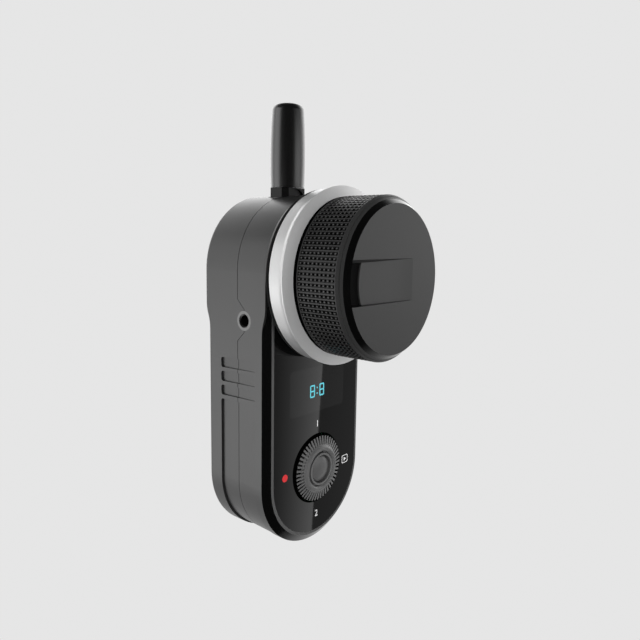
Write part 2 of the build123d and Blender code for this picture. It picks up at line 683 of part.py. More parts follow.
def battery_pack():
    pack = block((-BATTERY_HALF_WIDTH, BATTERY_HALF_WIDTH), (CAVITY_BACK - BATTERY_THICK, CAVITY_BACK),
                 (BATTERY_TOP - BATTERY_LEN, BATTERY_TOP))
    return fillet(pack.edges().filter_by(Axis.Z), BATTERY_ROUND)


def casing_screws():
    seat = SHELL_BACK - CASE_HEAD_SINK
    head = seat + SCREW_HEAD
    places = mirrored(CASE_BOSSES)
    plain = screws(places, head, seat, CAVITY_FRONT, SCREW_R, SCREW_HEAD_R)
    return [screw - prism(Pos(x, z) * RegularPolygon(HEX_R, 6), (head - HEX_DEPTH, head))
            for screw, (x, z) in zip(plain, places)]


def thread_insert():
    mouth = -HALF_WIDTH
    insert = rod_x(INSERT_R, (mouth, mouth + THREAD_LEN), THREAD_Y, THREAD_Z)
    insert -= rod_x(THREAD_BORE_R, (mouth, mouth + THREAD_LEN), THREAD_Y, THREAD_Z)
    bevel = Cone(THREAD_MOUTH_R, THREAD_BORE_R, THREAD_LEAD, rotation=(0, 90, 0))
    return insert - Pos(mouth + THREAD_LEAD / 2, THREAD_Y, THREAD_Z) * bevel


def dial_ring():
    top = DIAL_FRONT + DIAL_CROWN
    bevel_back = DIAL_FRONT + DIAL_BEVEL_DROP
    middle = (DIAL_RING_R + DIAL_BEVEL_R) / 2
    bore = SLEEVE_R + RUN
    crown = ThreePointArc((DIAL_RING_R, top), (middle, DIAL_FRONT), (DIAL_BEVEL_R, top))
    rest = Polyline((DIAL_BEVEL_R, top), (DIAL_R, bevel_back), (DIAL_R, DIAL_BACK), (bore, DIAL_BACK),
                    (bore, top + DIAL_CROWN), (DIAL_RING_R, top + DIAL_CROWN), (DIAL_RING_R, top))
    return Pos(0, 0, DIAL_Z) * revolve(make_face(crown + rest), Axis.Y)


def dial_rocker():
    """Plate with the sleeve that the dial turns on, and two ears for the cross."""
    plate = rod(ROCKER_R, (ROCKER_FRONT, ROCKER_BACK), 0, DIAL_Z)
    plate += rod(SLEEVE_R, (DIAL_FRONT + SLEEVE_SINK, ROCKER_BACK), 0, DIAL_Z)
    plate -= rod(SLEEVE_BORE_R, (DIAL_FRONT, BUTTON_BACK + BUTTON_TRAVEL + GLIDE), 0, DIAL_Z)
    for side in (1, -1):
        inner = DIAL_Z + side * (PIVOT_REACH - EAR_THICK)
        outer = DIAL_Z + side * PIVOT_REACH
        plate += block((-EAR_HALF, EAR_HALF), (ROCKER_BACK, PIVOT_Y + EAR_HALF), sorted((inner, outer)))
    return plate - rod_z(PIVOT_R + RUN, (DIAL_Z - PIVOT_REACH, DIAL_Z + PIVOT_REACH), 0, PIVOT_Y)


def gimbal_cross():
    """Cross pivot: rocks on the base about X, and carries the rocker about Z."""
    cross = Pos(0, PIVOT_Y, DIAL_Z) * Sphere(CROSS_CORE_R)
    cross += rod_x(PIVOT_R, (-PIVOT_REACH, PIVOT_REACH), PIVOT_Y, DIAL_Z)
    return cross + rod_z(PIVOT_R, (DIAL_Z - PIVOT_REACH, DIAL_Z + PIVOT_REACH), 0, PIVOT_Y)


def dial_base():
    base = rod(DIAL_BASE_R, (BOARD_FRONT - DIAL_BASE_THICK, BOARD_FRONT), 0, DIAL_Z)
    for side in (1, -1):
        ear = sorted((side * (PIVOT_REACH - EAR_THICK), side * PIVOT_REACH))
        base += block(ear, (PIVOT_Y - EAR_HALF, BOARD_FRONT), (DIAL_Z - EAR_HALF, DIAL_Z + EAR_HALF))
    return base - rod_x(PIVOT_R + RUN, (-PIVOT_REACH, PIVOT_REACH), PIVOT_Y, DIAL_Z)


def centre_button():
    edge = BUTTON_FRONT + BUTTON_DOME
    dome = TangentArc((0, BUTTON_FRONT), (BUTTON_R, edge), tangent=(1, 0))
    guide = BUTTON_BACK - BUTTON_GUIDE
    guide_r = SLEEVE_BORE_R - RUN
    rest = Polyline((BUTTON_R, edge), (BUTTON_R, guide), (guide_r, guide), (guide_r, BUTTON_BACK),
                    (0, BUTTON_BACK), (0, BUTTON_FRONT))
    return Pos(0, 0, DIAL_Z) * revolve(make_face(dome + rest), Axis.Y)


def antenna_socket():
    socket = rod_z(SEAT_R - FIT, (SEAT_Z, SEAT_Z + SEAT_THICK), 0, ANTENNA_Y)
    socket += rod_z(SOCKET_R, (SOCKET_Z, SEAT_Z), 0, ANTENNA_Y)
    return socket - rod_z(STEM_R + RUN, (SOCKET_Z, SEAT_Z + SEAT_THICK), 0, ANTENNA_Y)


def fold_turn():
    """Turns what is drawn for a fold towards +X to the fold's heading, about the antenna's axis."""
    return Pos(0, ANTENNA_Y, 0) * Rot(0, 0, FOLD_HEADING) * Pos(0, -ANTENNA_Y, 0)


def antenna_base():
    """Foot block with flats, on a stem that turns in the socket, with the tongue that the sleeve folds on."""
    top = FOOT_Z + FOOT_HEIGHT
    foot = Pos(0, ANTENNA_Y, (FOOT_Z + top) / 2) * Box(2 * FOOT_HALF_X, 2 * FOOT_HALF_Y, FOOT_HEIGHT)
    foot = chamfer(foot.edges().filter_by(Axis.Z), FOOT_CHAMFER)
    swing = Pos(0, ANTENNA_Y, FOLD_Z) * Sphere(SLEEVE_MID_R + AIR)
    swing &= block((-RELIEF_EDGE, FAR), (-FAR, FAR), (-FAR, FAR))
    swing += rod_x(SLEEVE_MID_R + AIR, (0, FAR), ANTENNA_Y, FOLD_Z)
    foot -= fold_turn() * swing
    for side in (1, -1):
        face = ANTENNA_Y + side * FOOT_HALF_Y
        arch = sorted((face, face - side * FOOT_ARCH_DEPTH))
        foot -= rod(FOOT_ARCH_R, arch, 0, FOOT_Z - FOOT_ARCH_DROP)
    stem_foot = SOCKET_Z - CLIP_THICK - STEM_CLIP
    base = foot + rod_z(STEM_R, (stem_foot, FOOT_Z), 0, ANTENNA_Y)
    groove = (SOCKET_Z - CLIP_THICK, SOCKET_Z)
    base -= rod_z(STEM_R, groove, 0, ANTENNA_Y) - rod_z(STEM_R - STEM_CLIP, groove, 0, ANTENNA_Y)
    tongue_y = (ANTENNA_Y - TONGUE_HALF_Y, ANTENNA_Y + TONGUE_HALF_Y)
    tongue = block((-TONGUE_HALF_X, TONGUE_HALF_X), tongue_y, (FOOT_Z, FOLD_Z))
    tongue += rod(TONGUE_HALF_X, tongue_y, 0, FOLD_Z)
    return base + fold_turn() * (tongue - rod(PIN_R + FIT, tongue_y, 0, FOLD_Z))


def antenna_clip():
    clip = (SOCKET_Z - CLIP_THICK, SOCKET_Z)
    inner = STEM_R - STEM_CLIP + FIT
    ring = rod_z(STEM_R + STEM_CLIP, clip, 0, ANTENNA_Y) - rod_z(inner, clip, 0, ANTENNA_Y)
    return ring - block((0, FAR), (ANTENNA_Y - inner, ANTENNA_Y + inner), clip)


def antenna_pin():
    return fold_turn() * rod(PIN_R, (ANTENNA_Y - PIN_REACH, ANTENNA_Y + PIN_REACH), 0, FOLD_Z)


def antenna_sleeve():
    """Barrel sleeve, slotted from below and on one side for the tongue, so that it folds over."""
    barrel = ThreePointArc((SLEEVE_FOOT_R, SLEEVE_Z), (SLEEVE_MID_R, SLEEVE_Z + SLEEVE_LEN / 2),
                           (SLEEVE_TOP_R, SLEEVE_Z + SLEEVE_LEN))
    ends = Polyline((SLEEVE_TOP_R, SLEEVE_Z + SLEEVE_LEN), (0, SLEEVE_Z + SLEEVE_LEN), (0, SLEEVE_Z),
                    (SLEEVE_FOOT_R, SLEEVE_Z))
    sleeve = revolve(Plane.XZ * make_face(barrel + ends), Axis.Z)
    sleeve = Pos(0, ANTENNA_Y, 0) * fillet(sleeve.edges().sort_by(Axis.Z)[-1], SLEEVE_ROUND)
    gap = TONGUE_HALF_X + AIR
    slot = (ANTENNA_Y - TONGUE_HALF_Y - AIR, ANTENNA_Y + TONGUE_HALF_Y + AIR)
    room = block((-gap, FAR), slot, (0, FOLD_Z)) + block((0, FAR), slot, (FOLD_Z, FOLD_Z + gap))
    room += rod(gap, slot, 0, FOLD_Z)
    ears = (ANTENNA_Y - FAR, ANTENNA_Y + FAR)
    room += block((0, FAR), ears, (0, FOLD_Z)) - rod(FOLD_RISE, ears, 0, FOLD_Z)
    reach = PIN_REACH + AIR
    room += rod(PIN_R + RUN, (ANTENNA_Y - reach, ANTENNA_Y + reach), 0, FOLD_Z)
    sleeve -= fold_turn() * room
    return sleeve - rod_z(ELEMENT_R + FIT, (FOLD_Z + gap, FOLD_Z + gap + ELEMENT_LEN), 0, ANTENNA_Y)


def antenna_element():
    foot = FOLD_Z + TONGUE_HALF_X + AIR
    return rod_z(ELEMENT_R, (foot + AIR, foot + ELEMENT_LEN), 0, ANTENNA_Y)


def antenna_lead():
    """Coaxial lead from the socket, behind the encoder board, to the back of the main board."""
    start = ANTENNA_Y + (STEM_R + STEM_CLIP + SOCKET_R) / 2
    behind = ENCODER_BACK + SMALL_HEAD + LEAD_CLEAR
    end_z = BOARD_TOP - BOARD_HOLE_EDGE
    route = [(0, start, SOCKET_Z), (0, start, SOCKET_Z - LEAD_DROP), (0, behind, SOCKET_Z - 2 * LEAD_DROP),
             (0, behind, end_z + LEAD_DROP), (0, BOARD_BACK + LEAD_DROP, end_z), (0, BOARD_BACK, end_z)]
    path = FilletPolyline(*route, radius=LEAD_BEND)
    return sweep(Plane(origin=path @ 0, z_dir=path % 0) * Circle(LEAD_R), path)


def power_button():
    """Cap through the right wall, held by a flange inside it."""
    wall = HALF_WIDTH - WALL
    span = (wall - POWER_FLANGE, HALF_WIDTH + POWER_PROUD)
    cap = pill_x(POWER_LEN / 2, POWER_WIDTH / 2, span, SIDE_Y, POWER_Z)
    cap = fillet(cap.edges().group_by(Axis.X)[-1], POWER_PROUD / 2)
    rim = POWER_LEN / 2 + POWER_FLANGE
    flange = (wall - POWER_FLANGE - FIT, wall - FIT)
    return cap + pill_x(rim, POWER_WIDTH / 2 + POWER_FLANGE, flange, SIDE_Y, POWER_Z)


def power_switch():
    end = HALF_WIDTH - WALL - POWER_FLANGE - POWER_TRAVEL - RUN
    half = SWITCH_SIZE / 2
    return block((end - SWITCH_LEN, end), (SIDE_Y - half, SIDE_Y + half), (POWER_Z - half, POWER_Z + half))


def charging_port():
    mouth = HALF_WIDTH - PORT_WALL
    shell = pill_x(PORT_WIDTH / 2, PORT_HEIGHT / 2, (mouth - PORT_LEN, mouth), SIDE_Y, PORT_Z)
    inner = (mouth - PORT_LEN + PORT_FLOOR, mouth)
    hollow = pill_x(PORT_WIDTH / 2 - PORT_WALL, PORT_HEIGHT / 2 - PORT_WALL, inner, SIDE_Y, PORT_Z)
    foot = block((mouth - PORT_LEN, HALF_WIDTH - WALL - AIR), (BOARD_BACK, SIDE_Y),
                 (PORT_Z - PORT_WIDTH / 4, PORT_Z + PORT_WIDTH / 4))
    contacts = (mouth - PORT_LEN, mouth - PORT_TONGUE_SINK)
    tongue = pill_x(PORT_WIDTH / 2 - PORT_HEIGHT / 2, PORT_TONGUE / 2, contacts, SIDE_Y, PORT_Z)
    return foot + shell - hollow + tongue


def pieces():
    body = casing()
    return {
        "front_shell": front_shell(body),
        "rear_shell": rear_shell(body),
        "collar": collar(),
        "panel_bezel": panel_bezel(),
        "display_glass": display_glass(),
        "display_module": display_module(),
        "main_board": main_board(),
        "board_screws": board_screws(),
        "battery_pack": battery_pack(),
        "casing_screws": casing_screws(),
        "thread_insert": thread_insert(),
        "bearing_carrier": bearing_carrier(),
        "carrier_screws": carrier_screws(),
        "damping_sleeve": damping_sleeve(),
        "front_outer_race": outer_race(BEARING_FRONT),
        "rear_outer_race": outer_race(BEARING_REAR),
        "encoder_board": encoder_board(),
        "encoder_screws": encoder_screws(),
        "end_cap": end_cap(),
        "end_ring": end_ring(),
        "ring_screws": ring_screws(),
        "grip_sleeve": grip_sleeve(),
        "marking_ring": marking_ring(),
        "wheel_hub": wheel_hub(),
        "hub_screw": hub_screw(),
        "wheel_shaft": wheel_shaft(),
        "shaft_clip": shaft_clip(),
        "encoder_magnet": encoder_magnet(),
        "front_inner_race": inner_race(BEARING_FRONT),
        "rear_inner_race": inner_race(BEARING_REAR),
        "front_balls": balls(BEARING_FRONT),
        "rear_balls": balls(BEARING_REAR),
        "dial_base": dial_base(),
        "gimbal_cross": gimbal_cross(),
        "dial_rocker": dial_rocker(),
        "dial_ring": dial_ring(),
        "centre_button": centre_button(),
        "antenna_socket": antenna_socket(),
        "antenna_lead": antenna_lead(),
        "antenna_base": antenna_base(),
        "antenna_clip": antenna_clip(),
        "antenna_pin": antenna_pin(),
        "antenna_sleeve": antenna_sleeve(),
        "antenna_element": antenna_element(),
        "power_button": power_button(),
        "power_switch": power_switch(),
        "charging_port": charging_port(),
    }


os.makedirs("parts", exist_ok=True)
for name, piece in pieces().items():
    solids = piece if isinstance(piece, list) else [piece]
    placed = [Pos(-ORIGIN) * solid for solid in solids]
    export_step(placed[0] if len(placed) == 1 else Compound(children=placed), f"parts/{name}.step")
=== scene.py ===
import bmesh
import bpy
import math
from mathutils import Matrix, Vector


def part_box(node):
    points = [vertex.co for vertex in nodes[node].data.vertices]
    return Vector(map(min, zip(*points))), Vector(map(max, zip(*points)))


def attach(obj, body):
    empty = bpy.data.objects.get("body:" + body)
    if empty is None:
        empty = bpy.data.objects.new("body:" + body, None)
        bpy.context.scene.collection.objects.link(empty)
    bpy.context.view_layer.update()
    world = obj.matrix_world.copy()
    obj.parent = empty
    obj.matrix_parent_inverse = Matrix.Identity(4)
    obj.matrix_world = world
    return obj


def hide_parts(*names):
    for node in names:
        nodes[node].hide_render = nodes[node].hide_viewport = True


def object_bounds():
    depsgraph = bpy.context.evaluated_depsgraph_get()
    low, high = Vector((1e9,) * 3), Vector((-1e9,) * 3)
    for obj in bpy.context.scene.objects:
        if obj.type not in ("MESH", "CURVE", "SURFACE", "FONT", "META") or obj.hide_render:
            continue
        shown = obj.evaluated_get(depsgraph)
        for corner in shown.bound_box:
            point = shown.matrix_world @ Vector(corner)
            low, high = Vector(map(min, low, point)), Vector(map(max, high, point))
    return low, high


# Looks of a wireless focus hand unit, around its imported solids. Metres, +Z up, the wheel faces -Y.
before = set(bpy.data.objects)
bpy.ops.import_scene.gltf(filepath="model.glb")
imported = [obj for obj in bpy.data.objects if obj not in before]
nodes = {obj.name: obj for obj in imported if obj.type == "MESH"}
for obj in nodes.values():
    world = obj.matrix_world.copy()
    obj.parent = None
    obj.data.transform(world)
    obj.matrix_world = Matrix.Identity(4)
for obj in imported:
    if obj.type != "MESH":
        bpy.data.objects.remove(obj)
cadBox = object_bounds()
scene = bpy.context.scene
scene.view_settings.view_transform = "Standard"
mm = 0.001
print("frame loaded:", len(nodes), "nodes")


# Shader maths: a socket that can be added, multiplied and so on
class Value:
    def __init__(self, finish, socket):
        self.finish = finish
        self.socket = socket

    def __add__(self, other):
        return self.finish.maths("ADD", self, other)

    def __radd__(self, other):
        return self.finish.maths("ADD", other, self)

    def __sub__(self, other):
        return self.finish.maths("SUBTRACT", self, other)

    def __rsub__(self, other):
        return self.finish.maths("SUBTRACT", other, self)

    def __mul__(self, other):
        return self.finish.maths("MULTIPLY", self, other)

    def __rmul__(self, other):
        return self.finish.maths("MULTIPLY", other, self)

    def __abs__(self):
        return self.finish.maths("ABSOLUTE", self)

    def most(self, other):
        return self.finish.maths("MAXIMUM", self, other)

    def out(self, name):
        return Value(self.finish, self.socket.node.outputs[name])


# A material or world and its nodes
class Finish:
    def __init__(self, owner):
        owner.use_nodes = True
        self.owner = owner
        self.tree = owner.node_tree
        self.tree.nodes.clear()

    def node(self, kind, settings=None, inputs=None):
        made = self.tree.nodes.new(kind)
        for name, value in (settings or {}).items():
            setattr(made, name, value)
        for name, value in (inputs or {}).items():
            if isinstance(value, Value):
                self.tree.links.new(value.socket, made.inputs[name])
            else:
                made.inputs[name].default_value = value
        return Value(self, made.outputs[0]) if len(made.outputs) else None

    def maths(self, operation, *values):
        return self.node("ShaderNodeMath", {"operation": operation}, dict(enumerate(values)))

    def vectors(self, operation, *values):
        return self.node("ShaderNodeVectorMath", {"operation": operation}, dict(enumerate(values)))

    def split(self, vector):
        return self.node("ShaderNodeSeparateXYZ", None, {"Vector": vector})

    def spot(self, centre=(0, 0, 0), turn=(0, 0, 0), scale=(1, 1, 1)):
        moved = self.vectors("SUBTRACT", self.node("ShaderNodeTexCoord").out("Object"), centre)
        return self.node("ShaderNodeMapping", None, {"Vector": moved, "Rotation": turn, "Scale": scale})

    # One inside a radius in millimetres about a solid's axis along Y
    def within(self, member, radius):
        low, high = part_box(member)
        around = self.vectors("MULTIPLY", self.spot(centre=(low + high) / 2), (1, 0, 1))
        return self.maths("LESS_THAN", self.vectors("LENGTH", around).out("Value"), radius * mm)

    # One further back than so many millimetres behind a solid's front, softly or at once
    def behind(self, member, drop, soft=0.01):
        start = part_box(member)[0].y + drop * mm
        return self.ramp(self.split(self.spot()).out("Y"), start, start + soft * mm)

    def noise(self, vector, scale, detail=2.0):
        return self.node("ShaderNodeTexNoise", None, {"Vector": vector, "Scale": scale, "Detail": detail})

    def between(self, value, low, high):
        return self.ramp(value, 0.0, 1.0, low, high)

    # Runs from low to high as a value goes from start to end, evenly or with soft ends
    def ramp(self, value, start, end, low=0.0, high=1.0, kind="LINEAR"):
        return self.node("ShaderNodeMapRange", {"interpolation_type": kind}, {
            "Value": value, "From Min": start, "From Max": end, "To Min": low, "To Max": high})

    def fade(self, value, start, end, low=0.0, high=1.0):
        return self.ramp(value, start, end, low, high, "SMOOTHSTEP")

    def blend(self, share, first, second):
        mixed = self.node("ShaderNodeMix", {"data_type": "RGBA"}, {0: share, 6: first, 7: second})
        return Value(self, mixed.socket.node.outputs[2])

    def bump(self, height, depth):
        return self.node("ShaderNodeBump", None, {"Height": height, "Distance": depth * mm, "Strength": 1.0})

    def average(self, first, second):
        return first * 0.5 + second * 0.5

    def surface(self, inputs):
        shader = self.node("ShaderNodeBsdfPrincipled", None, inputs)
        self.node("ShaderNodeOutputMaterial", None, {"Surface": shader})
        return self.owner


def paint(tone):
    red, green, blue = (tone, tone, tone) if isinstance(tone, float) else tone
    return (red, green, blue, 1.0)


# Scale and detail of the noise that several finishes share
noiseSettings = {"cloud": (60.0, 3.0), "streak": (900.0, 3.0), "tarnish": (80.0, 2.0), "smudge": (45.0, 4.0),
                 "speck": (4000.0, 1.0), "fineDetail": 1.0}

# Moulded and painted finishes: two tones, a roughness range and a grain, each from noise
# Round pieces may be painted darker deep in their relief or further back than their front, as painted shade;
# depths are in millimetres
grainFinishes = {
    "casingPaint": {"tones": (0.022, 0.026), "rough": (0.32, 0.40), "grain": 9000, "depth": 0.005, "ior": 1.7},
    # The grip's sunk levels are painted shade: the ribs are darker than the stud tops and the grooves nearly
    # black
    "gripRubber": {"tones": (0.060, 0.070), "rough": (0.34, 0.42), "grain": 5000, "depth": 0.01, "ior": 1.4,
                   "sunk": ("grip_sleeve", ((0.06, 0.026), (0.32, 0.0015)))},
    # The dial's skirt level is painted shade: nearly black further back than its front, on the skirt and the
    # grooves' outer ends
    "dialPlastic": {"tones": (0.128, 0.138), "rough": (0.34, 0.42), "grain": 8000, "depth": 0.01,
                    "skirtShade": ("dial_ring", 2.4, 0.0015)},
    "buttonPlastic": {"tones": (0.104, 0.112), "rough": (0.28, 0.34), "grain": 6000, "depth": 0.006},
    "antennaBlack": {"tones": (0.003, 0.004), "rough": (0.29, 0.35), "grain": 7000, "depth": 0.004, "ior": 2.0},
    "antennaFoot": {"tones": (0.004, 0.006), "rough": (0.30, 0.38), "grain": 7000, "depth": 0.005, "ior": 1.35},
    "darkDisplay": {"tones": (0.006, 0.010), "rough": (0.20, 0.26), "grain": 3000, "depth": 0.002},
    "batteryWrap": {"tones": ((0.016, 0.040, 0.13), (0.022, 0.055, 0.17)), "rough": (0.25, 0.38), "grain": 400,
                    "depth": 0.05},
    "dampingFelt": {"tones": (0.02, 0.05), "rough": (0.8, 0.95), "grain": 3000, "depth": 0.08},
    "leadSheath": {"tones": (0.014, 0.022), "rough": (0.45, 0.55), "grain": 4000, "depth": 0.01},
}

# Metals: a grain drawn out along one axis, and painted shade inside a radius, where a hollow is painted nearly
# black
metalFinishes = {
    # The marking ring's recessed face inside its radius is painted shade, nearly black and not metal
    "markingSilver": {"tones": (0.68, 0.76), "rough": (0.36, 0.44), "drawn": (1, 14, 1), "depth": 0.004,
                      "metal": 0.5, "recessShade": ("marking_ring", 36.0, 0.001)},
    "brightSteel": {"tones": (0.50, 0.62), "rough": (0.18, 0.28), "drawn": (4, 1, 4), "depth": 0.003},
    "machinedAlloy": {"tones": (0.55, 0.66), "rough": (0.24, 0.34), "drawn": (1, 12, 1), "depth": 0.004},
    "insertSteel": {"tones": (0.15, 0.21), "rough": (0.34, 0.44), "drawn": (12, 1, 1), "depth": 0.003},
    "sleeveAlloy": {"tones": (0.15, 0.18), "rough": (0.24, 0.32), "drawn": (1, 12, 1), "depth": 0.003,
                    "metal": 0.2},
    "nickelPlate": {"tones": (0.58, 0.66), "rough": (0.08, 0.14), "drawn": (1, 1, 1), "depth": 0.001},
    "brassRod": {"tones": ((0.62, 0.42, 0.14), (0.74, 0.52, 0.20)), "rough": (0.2, 0.3), "drawn": (6, 6, 1),
                 "depth": 0.003},
}
streakShare = 0.6


def grainFinish(name, tones, rough, grain, depth, ior=1.5, sunk=None, skirtShade=None):
    finish = Finish(bpy.data.materials.new(name))
    spot = finish.spot()
    cloud = finish.noise(spot, *noiseSettings["cloud"])
    fine = finish.noise(spot, grain, noiseSettings["fineDetail"])
    colour = finish.blend(cloud, paint(tones[0]), paint(tones[1]))
    # Painted shade: the tone steps darker at each depth into the relief
    if sunk:
        member, shadeLevels = sunk
        low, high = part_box(member)
        radius = (high.x - low.x) / 2 / mm
        for drop, tone in shadeLevels:
            colour = finish.blend(finish.within(member, radius - drop), colour, paint(tone))
    # Painted shade: nearly black further back than the front
    if skirtShade:
        member, drop, tone = skirtShade
        colour = finish.blend(finish.behind(member, drop), colour, paint(tone))
    return finish.surface({
        "Base Color": colour,
        "Roughness": finish.between(finish.average(cloud, fine), *rough),
        "Normal": finish.bump(fine, depth),
        "IOR": ior,
    })


def metalFinish(name, tones, rough, drawn, depth, metal=1.0, recessShade=None):
    finish = Finish(bpy.data.materials.new(name))
    streak = finish.noise(finish.spot(scale=drawn), *noiseSettings["streak"])
    tarnish = finish.noise(finish.spot(), *noiseSettings["tarnish"])
    colour = finish.blend(streak, paint(tones[0]), paint(tones[1]))
    # Painted shade: inside the radius the hollow is painted nearly black and not metal
    if recessShade:
        member, radius, tone = recessShade
        paintedRecessShade = finish.within(member, radius)
        colour = finish.blend(paintedRecessShade, colour, paint(tone))
        metal = metal * (1 - paintedRecessShade)
    return finish.surface({
        "Base Color": colour,
        "Roughness": finish.between(streak * streakShare + tarnish * (1 - streakShare), *rough),
        "Normal": finish.bump(streak, depth),
        "Metallic": metal,
    })


# Glass over the panel, with the display's rounded window showing faintly through it
glassSettings = {"tone": 0.0035, "window": 0.0115, "margin": 1.0, "corner": 2.0, "edge": 0.25,
                 "rough": (0.012, 0.028), "ior": 1.5}


def panelGlass():
    finish = Finish(bpy.data.materials.new("panelGlass"))
    low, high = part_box("display_module")
    corner = glassSettings["corner"] * mm
    half = (high - low) / 2
    wide = half.x + glassSettings["margin"] * mm
    place = finish.split(finish.spot(centre=(low + high) / 2))
    across = (abs(place.out("X")) - (wide - corner)).most(0.0)
    upward = (abs(place.out("Z")) - (half.z - corner)).most(0.0)
    reach = finish.maths("SQRT", across * across + upward * upward)
    inside = finish.ramp(reach, corner - glassSettings["edge"] * mm, corner, 1.0, 0.0)
    smudge = finish.noise(finish.spot(), *noiseSettings["smudge"])
    return finish.surface({
        "Base Color": finish.blend(inside, paint(glassSettings["tone"]), paint(glassSettings["window"])),
        "Roughness": finish.between(smudge, *glassSettings["rough"]),
        "IOR": glassSettings["ior"],
    })


# Gloss black with a satin grey share: the bezel's flat lip, the end ring's band. A seat inside it is matt
twoToneFinishes = {
    "bezelBlack": {"member": "panel_bezel", "lip": 0.12, "satin": (0.090, 0.100)},
    "ringBlack": {"member": "end_ring", "radius": 34.3, "satin": (0.030, 0.036), "seat": 32.45,
                  "ior": 1.3},
}
glossSettings = {"black": 0.0025, "grain": 7000.0, "rough": (0.14, 0.20), "satinRough": (0.24, 0.30),
                 "seatRough": 0.75, "depth": 0.003}


def twoToneFinish(name, member, satin, lip=0.0, radius=0.0, seat=0.0, ior=1.5):
    finish = Finish(bpy.data.materials.new(name))
    spot = finish.spot()
    if radius:
        share = 1 - finish.within(member, radius)
    else:
        share = 1 - finish.behind(member, lip)
    cloud = finish.noise(spot, *noiseSettings["cloud"])
    fine = finish.noise(spot, glossSettings["grain"], noiseSettings["fineDetail"])
    rough = finish.between(fine, *glossSettings["rough"])
    rough = rough + share * finish.between(cloud, *glossSettings["satinRough"])
    if seat:
        rough = rough + glossSettings["seatRough"] * finish.within(member, seat)
    grey = finish.blend(cloud, paint(satin[0]), paint(satin[1]))
    return finish.surface({
        "Base Color": finish.blend(share, paint(glossSettings["black"]), grey),
        "Roughness": rough,
        "Normal": finish.bump(fine, glossSettings["depth"]),
        "IOR": ior,
    })


# Matt end cap, painted paler on the strip's floor as painted light against its darker shading, and with painted
# shade along the strip's long edges
capSettings = {"tones": (0.035, 0.039), "rough": (0.46, 0.54), "grain": 8000.0, "depth": 0.008,
               "floor": 0.048, "floorDepth": 0.9, "shade": 0.007, "top": 9.2, "bottom": -9.5, "draft": 0.8,
               "crease": 0.4, "skin": 0.06}


def capPaint():
    finish = Finish(bpy.data.materials.new("capPaint"))
    low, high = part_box("end_ring")
    middle = (low + high) / 2
    spot = finish.spot()
    cloud = finish.noise(spot, *noiseSettings["cloud"])
    fine = finish.noise(spot, capSettings["grain"], noiseSettings["fineDetail"])
    place = finish.split(finish.spot(centre=(middle.x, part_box("end_cap")[0].y, middle.z)))
    deep, height = place.out("Y"), place.out("Z")
    # Painted shade along the strip's upper drafted wall and along its lower crease
    upper = finish.maths("GREATER_THAN", height + capSettings["draft"] * deep,
                         (capSettings["top"] - capSettings["skin"]) * mm)
    lower = finish.maths("LESS_THAN", height, (capSettings["bottom"] + capSettings["crease"]) * mm)
    paintedEdgeShade = upper.most(lower) * finish.behind("end_cap", capSettings["skin"])
    colour = finish.blend(cloud, *(paint(tone) for tone in capSettings["tones"]))
    # Painted light: the strip's floor is painted paler, against the darker shading of its tilt
    floorPaintedLight = finish.behind("end_cap", 0.0, capSettings["floorDepth"])
    colour = finish.blend(floorPaintedLight, colour, paint(capSettings["floor"]))
    return finish.surface({
        "Base Color": finish.blend(paintedEdgeShade, colour, paint(capSettings["shade"])),
        "Roughness": finish.between(finish.average(cloud, fine), *capSettings["rough"]),
        "Normal": finish.bump(fine, capSettings["depth"]),
    })


# Solder mask with paler lines over the copper tracks
boardSettings = {"mask": ((0.008, 0.075, 0.032), (0.010, 0.095, 0.042)), "track": (0.030, 0.20, 0.085),
                 "scale": 260.0, "line": 0.06, "stagger": 0.35, "cloud": 500.0, "rough": (0.3, 0.45),
                 "depth": 0.03}


def boardGreen():
    finish = Finish(bpy.data.materials.new("boardGreen"))
    first, second = boardSettings["mask"]
    track = finish.node("ShaderNodeTexBrick", {"offset": boardSettings["stagger"]}, {
        "Vector": finish.spot(turn=(math.pi / 2, 0, 0)), "Scale": boardSettings["scale"],
        "Mortar Size": boardSettings["line"], "Color1": paint(first), "Color2": paint(second),
        "Mortar": paint(boardSettings["track"])})
    cloud = finish.noise(finish.spot(), boardSettings["cloud"])
    return finish.surface({
        "Base Color": track,
        "Roughness": finish.between(cloud, *boardSettings["rough"]),
        "Normal": finish.bump(track.out("Fac"), boardSettings["depth"]),
    })


# Printed and lit marks: the display's digits glow as the display lights them, and the printed white and red
# marks are given a painted glow
markFinishes = {
    # The glow of the printed white and red marks is painted light; print does not glow
    "printWhite": {"tones": (0.70, 0.80), "glow": 0.30},
    "printRed": {"tones": ((0.62, 0.02, 0.025), (0.74, 0.03, 0.035)), "glow": 0.16},
    "digitCyan": {"tones": ((0.10, 0.50, 0.58), (0.14, 0.58, 0.66)), "glow": 0.48},
}
printRough = (0.35, 0.5)


def markFinish(name, tones, glow):
    finish = Finish(bpy.data.materials.new(name))
    speck = finish.noise(finish.spot(), *noiseSettings["speck"])
    colour = finish.blend(speck, paint(tones[0]), paint(tones[1]))
    return finish.surface({
        "Base Color": colour,
        "Emission Color": colour,
        "Emission Strength": glow,
        "Roughness": finish.between(speck, *printRough),
    })


finishes = {"panelGlass": panelGlass(), "boardGreen": boardGreen(), "capPaint": capPaint()}
finishes.update({name: grainFinish(name, **settings) for name, settings in grainFinishes.items()})
finishes.update({name: metalFinish(name, **settings) for name, settings in metalFinishes.items()})
finishes.update({name: markFinish(name, **settings) for name, settings in markFinishes.items()})
finishes.update({name: twoToneFinish(name, **settings) for name, settings in twoToneFinishes.items()})

